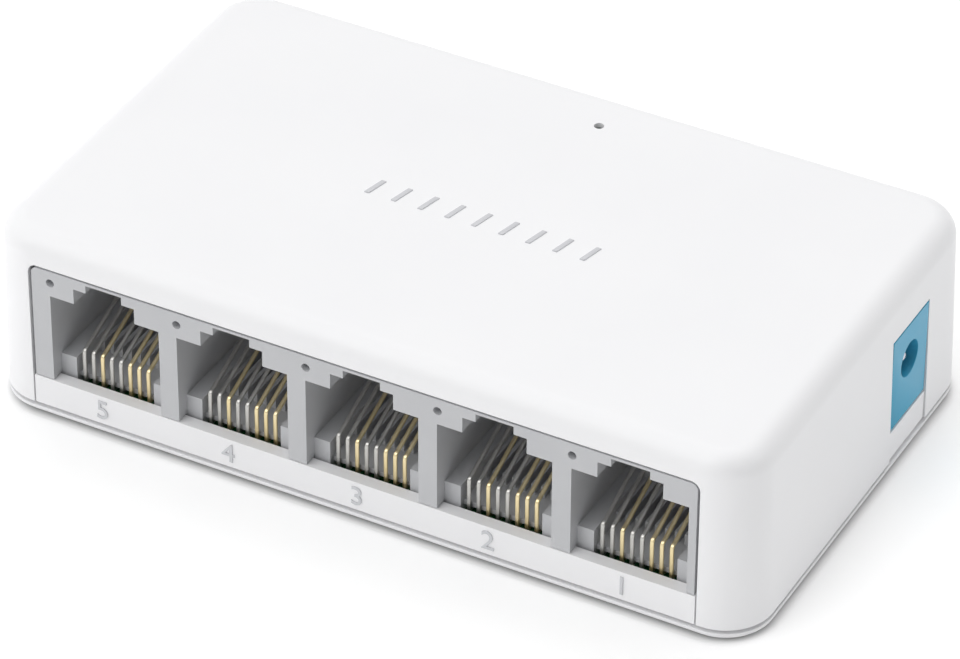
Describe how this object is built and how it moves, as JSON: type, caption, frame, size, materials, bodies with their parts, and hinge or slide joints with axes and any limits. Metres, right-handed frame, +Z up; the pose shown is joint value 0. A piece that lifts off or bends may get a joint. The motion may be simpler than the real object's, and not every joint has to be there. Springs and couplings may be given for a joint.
{
  "type": "desktop network switch",
  "caption": "Small desktop network switch: white rounded plastic case with a row of modular jacks in front, a round power socket on the side and an indicator on top.",
  "frame": {"origin": "middle of the underside of the case", "axes": "+X to the right seen from the front, along the row of jacks; the jacks face -Y; +Z up"},
  "size_m": [0.082, 0.049, 0.0208],
  "materials": {
    "white_abs": "satin moulded white ABS, fine spark-eroded texture",
    "grey_pbt": "smooth moulded grey PBT",
    "blue_pbt": "smooth moulded sky-blue PBT",
    "gold_contacts": "gold-plated phosphor bronze",
    "steel": "zinc-plated steel",
    "bright_pin": "nickel-plated brass",
    "tinned_leads": "tinned copper",
    "board": "green solder mask on glass epoxy",
    "chip_black": "black epoxy moulding",
    "can_metal": "drawn metal can",
    "capacitor_sleeve": "shrunk PVC sleeve",
    "ceramic": "fired ceramic",
    "clear_plastic": "clear moulded acrylic",
    "led_lens": "clear epoxy lens"
  },
  "bodies": {
    "housing": {"top_shell": "white_abs", "bottom_cover": "white_abs", "case_screws": "steel", "jack_housing": "grey_pbt", "contact_legs_port_1": "gold_contacts", "contact_legs_port_2": "gold_contacts", "contact_legs_port_3": "gold_contacts", "contact_legs_port_4": "gold_contacts", "contact_legs_port_5": "gold_contacts", "circuit_board": "board", "switch_chip": "chip_black", "switch_chip_leads": "tinned_leads", "magnetics_left": "chip_black", "magnetics_right": "chip_black", "magnetics_leads": "tinned_leads", "crystal": "can_metal", "capacitor_input": "capacitor_sleeve", "capacitor_output": "capacitor_sleeve", "power_inductor": "chip_black", "regulator": "chip_black", "chip_resistors": "chip_black", "chip_capacitors": "ceramic", "power_led": "led_lens", "light_pipe": "clear_plastic", "power_socket_body": "blue_pbt", "power_socket_pin": "bright_pin", "power_socket_terminals": "tinned_leads"},
    "port_1_springs": {"contact_springs_port_1": "gold_contacts"},
    "port_2_springs": {"contact_springs_port_2": "gold_contacts"},
    "port_3_springs": {"contact_springs_port_3": "gold_contacts"},
    "port_4_springs": {"contact_springs_port_4": "gold_contacts"},
    "port_5_springs": {"contact_springs_port_5": "gold_contacts"},
    "power_spring": {"power_socket_spring": "bright_pin"}
  },
  "joints": [
    {"name": "port_1_contacts", "type": "hinge", "parent": "housing", "child": "port_1_springs", "pos_m": [0.0284, -0.0226, 0.00775], "axis": [1, 0, 0], "range_deg": [-14, 0], "stiffness_Nm_per_rad": 0.05},
    {"name": "port_2_contacts", "type": "hinge", "parent": "housing", "child": "port_2_springs", "pos_m": [0.01443, -0.0226, 0.00775], "axis": [1, 0, 0], "range_deg": [-14, 0], "stiffness_Nm_per_rad": 0.05},
    {"name": "port_3_contacts", "type": "hinge", "parent": "housing", "child": "port_3_springs", "pos_m": [0.00046, -0.0226, 0.00775], "axis": [1, 0, 0], "range_deg": [-14, 0], "stiffness_Nm_per_rad": 0.05},
    {"name": "port_4_contacts", "type": "hinge", "parent": "housing", "child": "port_4_springs", "pos_m": [-0.01351, -0.0226, 0.00775], "axis": [1, 0, 0], "range_deg": [-14, 0], "stiffness_Nm_per_rad": 0.05},
    {"name": "port_5_contacts", "type": "hinge", "parent": "housing", "child": "port_5_springs", "pos_m": [-0.02748, -0.0226, 0.00775], "axis": [1, 0, 0], "range_deg": [-14, 0], "stiffness_Nm_per_rad": 0.05},
    {"name": "power_socket_contact", "type": "hinge", "parent": "housing", "child": "power_spring", "pos_m": [0.0305, 0.01015, 0.0092], "axis": [0, 1, 0], "range_deg": [0, 5], "stiffness_Nm_per_rad": 0.02}
  ]
}
